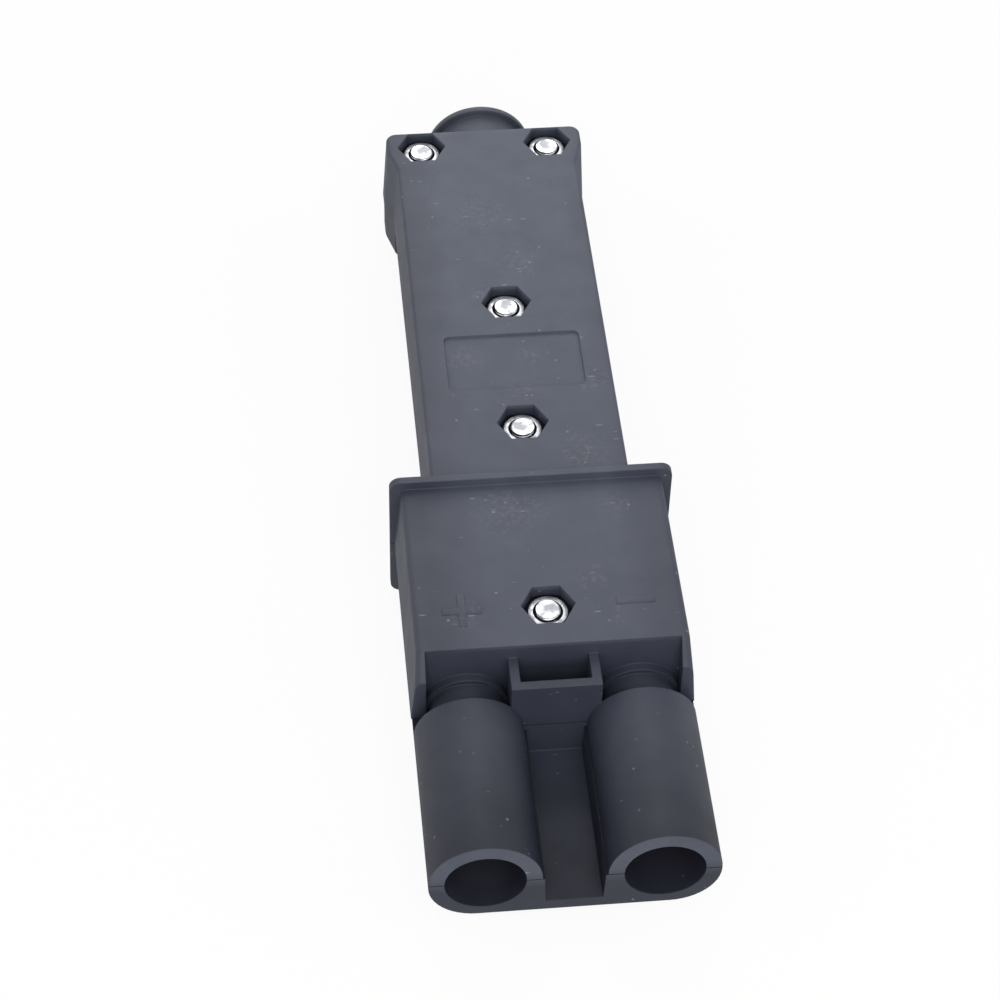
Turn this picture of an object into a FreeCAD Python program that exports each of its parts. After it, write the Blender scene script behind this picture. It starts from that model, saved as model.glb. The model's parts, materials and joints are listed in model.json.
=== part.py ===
import FreeCAD, Part
import math
import os
import Sketcher

# Golf cart charger plug with two barrels, in millimetres.
# Working axes: +X to the right, +Y from the barrels back to the cord entry, +Z up.
# The half shells meet at z = 0, which is also the height of both barrels' axes, and the head's
# front wall stands at y = 0. Each piece's Placement moves it to the row's frame, whose origin is
# the middle of the plug's footprint at the height of its lowest edge, the flange's lower edge.

doc = FreeCAD.newDocument("ChargerPlug")

# Driving dimensions: name, size and what it is.
DIMENSIONS = [
    ("barrel_pitch", 30.0, "between the two barrels' axes"),
    ("barrel_radius", 9.55, "outside of a barrel"),
    ("bore_radius", 6.85, "inside of a barrel's mouth"),
    ("barrel_reach", 38.4, "head's front wall to the barrels' front faces"),
    ("barrel_gap", 7.0, "head's front wall to the barrels' back faces and to the catch's front"),
    ("barrel_back_wall", 2.5, "closed end of a bore"),
    ("neck_radius", 6.6, "neck between head and barrel"),
    ("neck_collar_radius", 7.4, "collar at the root of the neck"),
    ("neck_collar_length", 1.6, "length of that collar"),
    ("base_depth", 8.7, "joint plane down to the flat underside"),
    ("base_upright", 0.4, "upright part of the lower side walls, above their rounding"),
    ("top_height", 14.2, "joint plane up to the top face"),
    ("head_edge", 1.2, "rounding of the head's long top edges and of the cheeks' slopes"),
    ("side_lean", 1.2, "how far the head's upper side walls lean in"),
    ("side_lean_angle", 3.3, "lean of the grip's upper walls, in degrees"),
    ("grip_edge", 0.8, "rounding of the grip's top edges"),
    ("seam_step", 0.2, "upper shell wider than the lower one"),
    ("grip_half", 18.7, "half width of the grip at the joint plane"),
    ("grip_end", 135.0, "grip's back face"),
    ("ear_half", 20.3, "half width across the back screws' ears"),
    ("ear_front", 123.0, "where an ear starts to swell"),
    ("ear_full", 128.6, "where an ear has its full width"),
    ("ear_corner", 2.8, "rounding of the grip's back corners"),
    ("ear_blend", 5.0, "rounding where an ear starts and where it is full"),
    ("ear_foot", 0.9, "rounding of the ears' lower edges"),
    ("wall", 2.3, "side walls"),
    ("cover", 2.2, "top and bottom walls"),
    ("flange_half", 25.5, "half width of the flange"),
    ("flange_rise", 1.8, "flange above the top face"),
    ("flange_drop", 4.6, "flange below the underside"),
    ("flange_front", 37.3, "flange's front face"),
    ("flange_thick", 1.4, "flange's thickness"),
    ("flange_corner", 2.1, "rounding of the flange's corners"),
    ("flange_fillet", 1.2, "ramp from the grip's top up the back of the flange"),
    ("hood_half", 22.1, "half width inside the hood's side walls"),
    ("cheek_reach", 3.3, "hood's side walls in front of the head"),
    ("cheek_drop", 4.7, "slope at the top of those walls"),
    ("catch_half", 7.8, "half width of the U-shaped catch"),
    ("catch_wall", 1.65, "wall of the catch"),
    ("catch_rim", 10.95, "rim of the catch above the joint plane"),
    ("catch_joint", 0.9, "joint of the shells in the catch above the joint plane"),
    ("channel_half", 5.1, "half width of the channel between the barrels"),
    ("channel_lean", 0.25, "how far each of its walls leans in down to its floor"),
    ("channel_depth", 6.45, "channel's floor below the joint plane"),
    ("plate_half", 12.7, "half width of the bare plate recess"),
    ("plate_front", 61.2, "front edge of the plate recess"),
    ("plate_length", 14.2, "length of the plate recess"),
    ("plate_sunk", 0.4, "depth of the plate recess"),
    ("plate_corner", 1.2, "rounding of the plate recess"),
    ("back_screw_x", 12.6, "back screws from the middle"),
    ("back_screw_y", 129.6, "back screws"),
    ("grip_back_y", 84.1, "rear screw in the grip"),
    ("grip_front_y", 52.5, "front screw in the grip"),
    ("head_screw_y", 8.7, "screw in the head"),
    ("pocket_flats", 8.3, "hexagonal nut pocket across flats"),
    ("nut_flats", 8.0, "nut across flats"),
    ("nut_height", 4.0, "nut's height"),
    ("nut_sunk", 1.85, "nut's face below the top face"),
    ("nut_chamfer", 0.85, "chamfer of a nut's corners"),
    ("thread_radius", 2.45, "screw's thread"),
    ("thread_play", 0.05, "between screw and nut"),
    ("screw_play", 0.3, "between screw and its hole"),
    ("screw_length", 16.0, "screw under its head"),
    ("screw_proud", 0.6, "screw's end above the nut"),
    ("screw_tip", 0.45, "chamfer at the screw's end"),
    ("head_radius", 4.25, "screw head"),
    ("head_height", 3.3, "screw head"),
    ("head_play", 0.15, "screw head in its counterbore"),
    ("head_slot", 1.2, "width of the slot in a screw head"),
    ("head_slot_depth", 1.6, "depth of that slot"),
    ("boss_radius", 6.1, "screw bosses inside the shells"),
    ("head_web", 8.5, "solid front part of the head"),
    ("cavity_front", 35.0, "end of the head's hollow, start of the grip's"),
    ("cavity_end", 120.5, "end of the grip's hollow"),
    ("cavity_corner", 1.5, "rounding inside the upper shell"),
    ("rib_first", 104.0, "first cord rib"),
    ("rib_step", 7.0, "to the second cord rib"),
    ("rib_thick", 2.4, "cord rib"),
    ("cord_height", 2.5, "cord's axis above the joint plane"),
    ("rib_notch", 5.2, "notch of a cord rib"),
    ("bush_radius", 8.9, "cord bush"),
    ("bush_play", 0.1, "round the cord bush"),
    ("bush_flange_radius", 9.8, "bush's inner flange"),
    ("bush_flange_y", 122.3, "front of that flange"),
    ("bush_flange_thick", 2.7, "thickness of that flange"),
    ("bush_out", 7.8, "bush behind the grip's back face"),
    ("bush_lip_radius", 10.45, "bush's outer lip"),
    ("bush_lip_thick", 1.2, "thickness of the lip"),
    ("bush_edge", 0.35, "rounding of the lip"),
    ("bush_bore", 5.75, "cord hole through the bush"),
    ("contact_recess", 9.0, "contact's mouth behind the barrel's face"),
    ("contact_radius", 5.1, "contact's socket, outside"),
    ("contact_bore", 3.5, "contact's socket, inside"),
    ("socket_depth", 22.0, "depth of the contact's socket"),
    ("contact_play", 0.2, "round the contact"),
    ("contact_chamfer", 0.5, "contact's mouth"),
    ("collar_radius", 6.4, "collar that holds the contact"),
    ("collar_front", 3.0, "front of that collar"),
    ("collar_thick", 3.0, "thickness of that collar"),
    ("tail_radius", 5.6, "contact's clamping tail"),
    ("tail_end", 24.0, "end of the tail"),
    ("wire_radius", 3.0, "wire hole in the tail"),
    ("wire_depth", 14.0, "depth of the wire hole"),
    ("slot_width", 1.0, "slots of the contact's socket"),
    ("slot_length", 17.0, "length of those slots"),
    ("spring_front", 2.5, "contact's mouth to its spring"),
    ("spring_length", 3.6, "spring band"),
    ("spring_thick", 0.5, "spring band"),
    ("spring_sunk", 0.25, "groove for the spring band"),
    ("clamp_radius", 1.95, "clamp screw"),
    ("clamp_length", 4.6, "clamp screw"),
    ("clamp_first", 12.8, "first clamp screw"),
    ("clamp_step", 6.6, "to the second clamp screw"),
    ("clamp_proud", 0.7, "clamp screw above the tail"),
    ("clamp_slot", 0.8, "width of the slot in a clamp screw"),
]

sheet = doc.addObject("Spreadsheet::Sheet", "Sizes")
for row, (name, size, note) in enumerate(DIMENSIONS, start=1):
    sheet.set("A%d" % row, name)
    sheet.set("B%d" % row, str(size))
    sheet.setAlias("B%d" % row, name)
    sheet.set("C%d" % row, note)
doc.recompute()


class Size:
    """A length with its number and with the formula that binds it to the sheet."""

    def __init__(self, number, formula):
        self.number = number
        self.formula = formula

    def __add__(self, other):
        other = size_of(other)
        return Size(self.number + other.number, "(%s + %s)" % (self.formula, other.formula))

    def __sub__(self, other):
        other = size_of(other)
        return Size(self.number - other.number, "(%s - %s)" % (self.formula, other.formula))

    def __mul__(self, other):
        other = size_of(other)
        return Size(self.number * other.number, "(%s * %s)" % (self.formula, other.formula))

    def __truediv__(self, other):
        other = size_of(other)
        return Size(self.number / other.number, "(%s / %s)" % (self.formula, other.formula))

    def __radd__(self, other):
        return size_of(other) + self

    def __rsub__(self, other):
        return size_of(other) - self

    def __rmul__(self, other):
        return size_of(other) * self

    def __neg__(self):
        return Size(-self.number, "(0 - %s)" % self.formula)


def size_of(value):
    if isinstance(value, Size):
        return value
    return Size(float(value), "%.9g" % value if value >= 0 else "(0 - %.9g)" % -value)


class Sizes:
    """Gives each named dimension of the sheet as a Size."""

    def __getattr__(self, name):
        return Size(float(getattr(sheet, name)), "Sizes.%s" % name)


S = Sizes()
ZERO = size_of(0)


def bind(obj, path, size):
    obj.setExpression(path, size_of(size).formula)


def new_body(label, x, y, z):
    """A body whose own origin lies at x, y, z of the working axes."""
    body = doc.addObject("PartDesign::Body", label)
    body.Label = label
    middle = (S.grip_end + S.bush_out - S.barrel_reach) / 2
    lowest = S.base_depth + S.flange_drop
    bind(body, "Placement.Base.x", x)
    bind(body, "Placement.Base.y", size_of(y) - middle)
    bind(body, "Placement.Base.z", size_of(z) + lowest)
    return body


def new_sketch(body, name, plane_role, dx, dy, dz):
    sketch = body.newObject("Sketcher::SketchObject", name)
    plane = [p for p in body.Origin.OriginFeatures if p.Role == plane_role][0]
    sketch.AttachmentSupport = [(plane, "")]
    sketch.MapMode = "FlatFace"
    bind(sketch, "AttachmentOffset.Base.x", dx)
    bind(sketch, "AttachmentOffset.Base.y", dy)
    bind(sketch, "AttachmentOffset.Base.z", dz)
    return sketch


def pin_point(sketch, geo, pos, x, y):
    """Ties a point of the sketch to the two sizes x and y."""
    for axis, kind, size in ((-2, "DistanceX", size_of(x)), (-1, "DistanceY", size_of(y))):
        if size.formula == "0":
            sketch.addConstraint(Sketcher.Constraint("PointOnObject", geo, pos, axis))
        else:
            index = sketch.addConstraint(Sketcher.Constraint(kind, -1, 1, geo, pos, size.number))
            bind(sketch, "Constraints[%d]" % index, size)


def corner_arc(before, at, after, radius):
    """Where an arc of this radius meets the two sides of a corner, and its centre."""
    one = (before - at).normalize()
    two = (after - at).normalize()
    half = one.getAngle(two) / 2
    reach = radius / math.tan(half)
    middle = (one + two).normalize() * (radius / math.sin(half))
    return at + one * reach, at + two * reach, at + middle


def add_outline(sketch, corners):
    """A closed outline of straight sides. A corner is (x, y) or (x, y, radius)."""
    count = len(corners)
    spots = [FreeCAD.Vector(size_of(c[0]).number, size_of(c[1]).number, 0) for c in corners]
    starts, ends, arcs = list(spots), list(spots), {}
    for i, corner in enumerate(corners):
        if len(corner) == 3:
            radius = size_of(corner[2]).number
            enter, leave, centre = corner_arc(spots[i - 1], spots[i], spots[(i + 1) % count], radius)
            ends[i], starts[i], arcs[i] = enter, leave, centre
    sides = []
    for i in range(count):
        line = Part.LineSegment(starts[i], ends[(i + 1) % count])
        sides.append(sketch.addGeometry(line, False))
    for i, corner in enumerate(corners):
        side_in, side_out = sides[i - 1], sides[i]
        if i not in arcs:
            sketch.addConstraint(Sketcher.Constraint("Coincident", side_in, 2, side_out, 1))
            pin_point(sketch, side_out, 1, corner[0], corner[1])
            continue
        spot = sketch.addGeometry(Part.Point(spots[i]), True)
        pin_point(sketch, spot, 1, corner[0], corner[1])
        sketch.addConstraint(Sketcher.Constraint("PointOnObject", spot, 1, side_in))
        sketch.addConstraint(Sketcher.Constraint("PointOnObject", spot, 1, side_out))
        radius = size_of(corner[2])
        centre = arcs[i]
        angle_in = math.atan2(ends[i].y - centre.y, ends[i].x - centre.x)
        angle_out = math.atan2(starts[i].y - centre.y, starts[i].x - centre.x)
        left_turn = (spots[i] - spots[i - 1]).cross(spots[(i + 1) % count] - spots[i]).z > 0
        circle = Part.Circle(centre, FreeCAD.Vector(0, 0, 1), radius.number)
        first, last = (angle_in, angle_out) if left_turn else (angle_out, angle_in)
        arc = sketch.addGeometry(Part.ArcOfCircle(circle, first, last), False)
        end_in, end_out = (1, 2) if left_turn else (2, 1)
        sketch.addConstraint(Sketcher.Constraint("Tangent", side_in, 2, arc, end_in))
        sketch.addConstraint(Sketcher.Constraint("Tangent", arc, end_out, side_out, 1))
        index = sketch.addConstraint(Sketcher.Constraint("Radius", arc, radius.number))
        bind(sketch, "Constraints[%d]" % index, radius)


def add_circle(sketch, x, y, radius):
    centre = FreeCAD.Vector(size_of(x).number, size_of(y).number, 0)
    circle = Part.Circle(centre, FreeCAD.Vector(0, 0, 1), size_of(radius).number)
    geo = sketch.addGeometry(circle, False)
    pin_point(sketch, geo, 3, x, y)
    index = sketch.addConstraint(Sketcher.Constraint("Radius", geo, size_of(radius).number))
    bind(sketch, "Constraints[%d]" % index, radius)


def add_half_disc(sketch, x, radius, up):
    """Half a disc that stands on (or hangs below) the sketch's X axis, centred at x."""
    centre = FreeCAD.Vector(x.number, 0, 0)
    circle = Part.Circle(centre, FreeCAD.Vector(0, 0, 1), radius.number)
    first, last = (0, math.pi) if up else (math.pi, 2 * math.pi)
    arc = sketch.addGeometry(Part.ArcOfCircle(circle, first, last), False)
    left = centre - FreeCAD.Vector(radius.number, 0, 0)
    right = centre + FreeCAD.Vector(radius.number, 0, 0)
    line = sketch.addGeometry(Part.LineSegment(left, right), False)
    left_end, right_end = (2, 1) if up else (1, 2)
    sketch.addConstraint(Sketcher.Constraint("Coincident", line, 1, arc, left_end))
    sketch.addConstraint(Sketcher.Constraint("Coincident", line, 2, arc, right_end))
    pin_point(sketch, arc, 3, x, ZERO)
    sketch.addConstraint(Sketcher.Constraint("PointOnObject", line, 1, -1))
    index = sketch.addConstraint(Sketcher.Constraint("Radius", arc, radius.number))
    bind(sketch, "Constraints[%d]" % index, radius)
    sketch.addConstraint(Sketcher.Constraint("PointOnObject", line, 2, -1))


def draw(sketch, shapes):
    """Draws outlines (lists of corners), circles and half discs (tuples)."""
    for shape in shapes:
        if isinstance(shape, tuple) and isinstance(shape[-1], bool):
            add_half_disc(sketch, *shape)
        elif isinstance(shape, tuple):
            add_circle(sketch, *shape)
        else:
            add_outline(sketch, shape)


def box(x0, x1, y0, y1, radius=None):
    corners = [(x0, y0), (x1, y0), (x1, y1), (x0, y1)]
    if radius is None:
        return corners
    return [corner + (radius,) for corner in corners]


def hexagon(x, y, flats):
    """A regular hexagon with two corners on the X axis."""
    corner = size_of(flats) / math.sqrt(3)
    turns = [math.radians(60 * k) for k in range(6)]
    return [(x + corner * math.cos(a), y + corner * math.sin(a)) for a in turns]


def extrude(body, name, plane_role, offset, start, end, shapes, cut):
    """Pads or pockets shapes from start to end, along the axis that plane_role leaves out."""
    facing = -1 if plane_role == "XZ_Plane" else 1
    dx, dy = offset
    sketch = new_sketch(body, name + "_sketch", plane_role, dx, dy, size_of(start) * facing)
    draw(sketch, shapes)
    feature = body.newObject("PartDesign::Pocket" if cut else "PartDesign::Pad", name)
    feature.Profile = sketch
    bind(feature, "Length", size_of(end) - size_of(start))
    feature.Reversed = cut if facing == 1 else not cut
    return feature


def add_y(body, name, start, end, shapes, offset=(0, 0)):
    return extrude(body, name, "XZ_Plane", offset, start, end, shapes, False)


def cut_y(body, name, start, end, shapes, offset=(0, 0)):
    return extrude(body, name, "XZ_Plane", offset, start, end, shapes, True)


def add_z(body, name, start, end, shapes):
    return extrude(body, name, "XY_Plane", (0, 0), start, end, shapes, False)


def cut_z(body, name, start, end, shapes):
    return extrude(body, name, "XY_Plane", (0, 0), start, end, shapes, True)


def cut_x(body, name, start, end, shapes):
    return extrude(body, name, "YZ_Plane", (0, 0), start, end, shapes, True)


def turn(body, name, plane_role, offset, profile, cut=False):
    """Turns a profile of (radius, distance along the axis) round the sketch's upright axis."""
    dx, dy, dz = offset
    sketch = new_sketch(body, name + "_sketch", plane_role, dx, dy, dz)
    draw(sketch, [profile])
    feature = body.newObject("PartDesign::Groove" if cut else "PartDesign::Revolution", name)
    feature.Profile = sketch
    feature.ReferenceAxis = (sketch, ["V_Axis"])
    feature.Angle = 360
    return feature


def turn_y(body, name, x, z, profile, cut=False):
    """Turns a profile round an axis along Y that passes through x and z."""
    return turn(body, name, "XY_Plane", (x, 0, z), profile, cut)


def turn_z(body, name, x, y, profile, cut=False):
    """Turns a profile round an axis along Z that passes through x and y."""
    return turn(body, name, "XZ_Plane", (x, 0, -size_of(y)), profile, cut)


def round_edges(body, name, radius, chosen):
    """Rounds the edges that chosen picks, by their box and their middle, in working axes."""
    doc.recompute()
    tip = body.Tip
    back = body.Placement.inverse().toMatrix()
    edges = []
    for index, edge in enumerate(body.Shape.Edges, start=1):
        local = edge.transformed(back)
        if chosen(local.BoundBox):
            edges.append("Edge%d" % index)
    if not edges:
        raise RuntimeError("%s finds no edge" % name)
    feature = body.newObject("PartDesign::Fillet", name)
    feature.Base = (tip, edges)
    bind(feature, "Radius", radius)
    return feature


def near(one, two):
    return abs(one - size_of(two).number) < 1e-3


# Sizes that follow from the driving dimensions.
HALF_PITCH = S.barrel_pitch / 2
BASE_HALF = HALF_PITCH + S.barrel_radius
BASE_CORNER = S.base_depth - S.base_upright
FLOOR_CORNER = BASE_CORNER - S.wall
HEAD_HALF = BASE_HALF + S.seam_step
LOWER_GRIP_HALF = S.grip_half - S.seam_step
LOWER_EAR_HALF = S.ear_half - S.seam_step
FLANGE_BACK = S.flange_front + S.flange_thick
FLANGE_TOP = S.top_height + S.flange_rise
FLANGE_LOW = -(S.base_depth + S.flange_drop)
BUSH_END = S.grip_end + S.bush_out
NUT_SEAT = S.top_height - S.nut_sunk - S.nut_height
SCREW_SEAT = S.top_height - S.nut_sunk + S.screw_proud - S.screw_length
SCREW_HOLE = S.thread_radius + S.screw_play
COLLAR_BACK = S.collar_front + S.collar_thick
CONTACT_MOUTH = S.contact_recess - S.barrel_reach
SLACK = 1.0

SIDES = (("left", -1), ("right", 1))
SCREWS = [
    ("rear_left", -S.back_screw_x, S.back_screw_y),
    ("rear_right", S.back_screw_x, S.back_screw_y),
    ("grip_rear", ZERO, S.grip_back_y),
    ("grip_front", ZERO, S.grip_front_y),
    ("head", ZERO, S.head_screw_y),
]


def upper_section(half, high):
    """Section of the head's outside, with leaning side walls."""
    top = half - S.side_lean
    return [(-half, ZERO), (half, ZERO), (top, high), (-top, high)]


def upper_hollow(half, high):
    """Section of the upper shell's inside, with leaning side walls and rounded corners."""
    top = half - S.side_lean
    corner = S.cavity_corner
    return [(-half, ZERO), (half, ZERO), (top, high, corner), (-top, high, corner)]


def lower_section(half, depth, radius):
    """Section of the lower shell's outside or inside, with its two large corners."""
    return [(-half, -depth, radius), (half, -depth, radius), (half, 0), (-half, 0)]


def grip_plan():
    """Plan of the upper shell's grip at the joint plane, with the ears of the back screws."""
    half, ear, front = S.grip_half, S.ear_half, FLANGE_BACK - SLACK
    return [
        (-half, front), (half, front),
        (half, S.ear_front, S.ear_blend), (ear, S.ear_full, S.ear_blend),
        (ear, S.grip_end, S.ear_corner), (-ear, S.grip_end, S.ear_corner),
        (-ear, S.ear_full, S.ear_blend), (-half, S.ear_front, S.ear_blend),
    ]


def ear_plan():
    """Plan of the lower shell's back end, an upright block that swells out to the ears."""
    half, ear = LOWER_GRIP_HALF, LOWER_EAR_HALF
    return [
        (-half, S.ear_front), (half, S.ear_front), (ear, S.ear_full, S.ear_blend),
        (ear, S.grip_end, S.ear_corner), (-ear, S.grip_end, S.ear_corner), (-ear, S.ear_full, S.ear_blend),
    ]


def contact_passage(body, side):
    """Cuts one barrel's bore and, behind it, the seats of its contact."""
    neck = S.contact_radius + S.contact_play
    collar = S.collar_radius + S.contact_play
    tail = S.tail_radius + S.contact_play
    bore_end = -S.barrel_gap - S.barrel_back_wall
    turn_y(body, "passage_%s" % ("left" if side < 0 else "right"), HALF_PITCH * side, 0, [
        (0, -S.barrel_reach - SLACK), (S.bore_radius, -S.barrel_reach - SLACK),
        (S.bore_radius, bore_end), (neck, bore_end),
        (neck, S.collar_front - S.contact_play / 2), (collar, S.collar_front - S.contact_play / 2),
        (collar, COLLAR_BACK + S.contact_play / 2), (tail, COLLAR_BACK + S.contact_play / 2),
        (tail, S.head_web + SLACK), (0, S.head_web + SLACK),
    ], cut=True)


def bush_seat(body):
    """Cuts the round seat that holds the cord bush and its flange."""
    seat = S.bush_radius + S.bush_play
    groove = S.bush_flange_radius + S.bush_play
    front = S.bush_flange_y - S.bush_play
    back = S.bush_flange_y + S.bush_flange_thick + S.bush_play
    turn_y(body, "bush_seat", 0, S.cord_height, [
        (0, S.cavity_end - SLACK), (seat, S.cavity_end - SLACK), (seat, front), (groove, front),
        (groove, back), (seat, back), (seat, S.grip_end + SLACK), (0, S.grip_end + SLACK),
    ], cut=True)


def half_discs(radius, up):
    return [(HALF_PITCH * side, radius, up) for _, side in SIDES]


def catch_outside(back):
    return box(-S.catch_half, S.catch_half, -S.barrel_gap, back)


def catch_inside():
    inner = S.catch_half - S.catch_wall
    return box(-inner, inner, S.catch_wall - S.barrel_gap, ZERO)


def necks(body, up):
    """One half of the necks that join the barrels to the head, with their root collars."""
    add_y(body, "necks", -S.barrel_gap - SLACK, size_of(SLACK), half_discs(S.neck_radius, up))
    add_y(body, "neck_collars", -S.neck_collar_length, size_of(SLACK),
          half_discs(S.neck_collar_radius, up))


def make_upper_shell():
    """Nut side: grip, flange, head with hood and catch, and the barrels' upper halves."""
    body = new_body("upper_shell", 0, 0, 0)
    grip = add_z(body, "grip_block", ZERO, S.top_height, [grip_plan()])
    bind(grip, "TaperAngle", -S.side_lean_angle)
    round_edges(body, "grip_rounding", S.grip_edge, is_grip_rim)
    add_y(body, "head_block", -S.cheek_reach, FLANGE_BACK, [upper_section(HEAD_HALF, S.top_height)])
    hood = box(-S.hood_half, S.hood_half, -S.cheek_reach - SLACK, ZERO)
    cut_z(body, "hood", ZERO - SLACK, S.top_height + SLACK, [hood])
    cut_x(body, "cheek_slope", -HEAD_HALF - SLACK, HEAD_HALF + SLACK, [[
        (-S.cheek_reach - SLACK, S.top_height - S.cheek_drop), (-S.cheek_reach, S.top_height - S.cheek_drop),
        (0, S.top_height), (0, S.top_height + SLACK), (-S.cheek_reach - SLACK, S.top_height + SLACK),
    ]])
    round_edges(body, "head_rounding", S.head_edge, is_head_rim)
    add_y(body, "flange", S.flange_front, FLANGE_BACK, [[
        (-S.flange_half, 0), (S.flange_half, 0),
        (S.flange_half, FLANGE_TOP, S.flange_corner), (-S.flange_half, FLANGE_TOP, S.flange_corner),
    ]])
    round_edges(body, "flange_ramp", S.flange_fillet, is_flange_foot)
    necks(body, True)
    add_y(body, "barrels", -S.barrel_reach, -S.barrel_gap, half_discs(S.barrel_radius, True))
    cut_z(body, "catch_joint", ZERO - SLACK, S.catch_joint, [catch_outside(ZERO)])
    add_z(body, "catch", S.catch_joint, S.catch_rim, [catch_outside(size_of(SLACK))])
    cut_z(body, "catch_pocket", ZERO - SLACK, S.catch_rim + SLACK, [catch_inside()])
    ceiling = S.top_height - S.cover
    head_inside = upper_hollow(HEAD_HALF - S.wall, ceiling)
    grip_inside = upper_hollow(S.grip_half - S.wall, ceiling)
    cut_y(body, "head_hollow", S.head_web, S.cavity_front, [head_inside])
    cut_y(body, "grip_hollow", S.cavity_front - SLACK, S.cavity_end, [grip_inside])
    add_z(body, "bosses", ZERO, ceiling + SLACK, boss_circles())
    add_cord_ribs(body, grip_inside)
    for _, side in SIDES:
        contact_passage(body, side)
    bush_seat(body)
    pockets = [hexagon(x, y, S.pocket_flats) for _, x, y in SCREWS]
    cut_z(body, "nut_pockets", NUT_SEAT, S.top_height + SLACK, pockets)
    cut_z(body, "screw_holes", ZERO - SLACK, S.top_height, [(x, y, SCREW_HOLE) for _, x, y in SCREWS])
    plate = box(-S.plate_half, S.plate_half, S.plate_front, S.plate_front + S.plate_length, S.plate_corner)
    cut_z(body, "plate_recess", S.top_height - S.plate_sunk, S.top_height + SLACK, [plate])
    return body


def is_grip_rim(span):
    """Edges round the grip's top face, but not the front one, which the head covers."""
    in_top = near(span.ZMin, S.top_height) and near(span.ZMax, S.top_height)
    return in_top and span.YMax > FLANGE_BACK.number + 1


def is_head_rim(span):
    """The head's long top edges and the outer edges of the slopes on the hood's side walls."""
    one_side = span.XMin * span.XMax > 0
    outside = min(abs(span.XMin), abs(span.XMax)) > S.hood_half.number + 0.1
    high = near(span.ZMax, S.top_height) and span.ZMin > S.top_height.number - S.cheek_drop.number - 0.01
    return one_side and outside and high and span.YMin < 1


def is_flange_foot(span):
    """The edge where the flange's back stands on the grip's top face."""
    across = near(span.YMin, FLANGE_BACK) and near(span.YMax, FLANGE_BACK)
    return across and near(span.ZMin, S.top_height) and near(span.ZMax, S.top_height)


def boss_circles():
    return [(x, y, S.boss_radius) for _, x, y in SCREWS[2:]]


def add_cord_ribs(body, section):
    """Two ribs across the grip, with a round notch that grips the cord."""
    for step in (0, 1):
        start = S.rib_first + S.rib_step * step
        add_y(body, "cord_rib_%d" % (step + 1), start, start + S.rib_thick, [section])
    notch_end = S.rib_first + S.rib_step + S.rib_thick + SLACK
    cut_y(body, "cord_notch", S.rib_first - SLACK, notch_end, [(ZERO, S.cord_height, S.rib_notch)])


def make_lower_shell():
    """Screw side: base with large corners, channel, lower flange and screw seats."""
    body = new_body("lower_shell", 0, 0, 0)
    add_y(body, "barrel_base", -S.barrel_reach, FLANGE_BACK,
          [lower_section(BASE_HALF, S.base_depth, BASE_CORNER)])
    add_z(body, "ears", -S.base_depth, ZERO, [ear_plan()])
    round_edges(body, "ear_rounding", S.ear_foot, is_ear_foot)
    add_y(body, "grip_base", FLANGE_BACK - SLACK, S.ear_front + SLACK,
          [lower_section(LOWER_GRIP_HALF, S.base_depth, BASE_CORNER)])
    add_y(body, "flange", S.flange_front, FLANGE_BACK, [[
        (-S.flange_half, FLANGE_LOW, S.flange_corner), (S.flange_half, FLANGE_LOW, S.flange_corner),
        (S.flange_half, 0), (-S.flange_half, 0),
    ]])
    add_z(body, "catch_foot", ZERO - SLACK, S.catch_joint, [catch_outside(ZERO)])
    floor = -S.channel_depth
    above = S.catch_joint + SLACK
    wide, narrow = S.channel_half, S.channel_half - S.channel_lean
    rise = S.channel_lean * SLACK / S.channel_depth
    cut_y(body, "channel", -S.barrel_reach - SLACK, -S.barrel_gap, [[
        (-narrow, floor), (narrow, floor), (wide + rise, SLACK), (-wide - rise, SLACK),
    ]])
    cut_y(body, "hood_floor", -S.barrel_gap, ZERO, [
        [(-S.hood_half, floor, FLOOR_CORNER), (-S.catch_half, floor),
         (-S.catch_half, above), (-S.hood_half, above)],
        [(S.catch_half, floor), (S.hood_half, floor, FLOOR_CORNER),
         (S.hood_half, above), (S.catch_half, above)],
    ])
    cut_z(body, "catch_floor", floor, above, [catch_inside()])
    necks(body, False)
    depth = S.base_depth - S.cover
    head_inside = lower_section(BASE_HALF - S.wall, depth, FLOOR_CORNER)
    grip_inside = lower_section(LOWER_GRIP_HALF - S.wall, depth, FLOOR_CORNER)
    cut_y(body, "head_hollow", S.head_web, S.cavity_front, [head_inside])
    cut_y(body, "grip_hollow", S.cavity_front - SLACK, S.cavity_end, [grip_inside])
    add_z(body, "bosses", -depth - SLACK, ZERO, boss_circles())
    add_cord_ribs(body, grip_inside)
    for _, side in SIDES:
        contact_passage(body, side)
    bush_seat(body)
    cut_z(body, "screw_holes", -S.base_depth - SLACK, above, [(x, y, SCREW_HOLE) for _, x, y in SCREWS])
    seat = S.head_radius + S.head_play
    cut_z(body, "head_seats", -S.base_depth - SLACK, SCREW_SEAT, [(x, y, seat) for _, x, y in SCREWS])
    return body


def is_ear_foot(span):
    """Lower edges of the ears' sides and back, but not the front one, which the grip covers."""
    low = near(span.ZMin, -S.base_depth) and near(span.ZMax, -S.base_depth)
    return low and span.YMax > S.ear_front.number + 0.1


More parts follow.
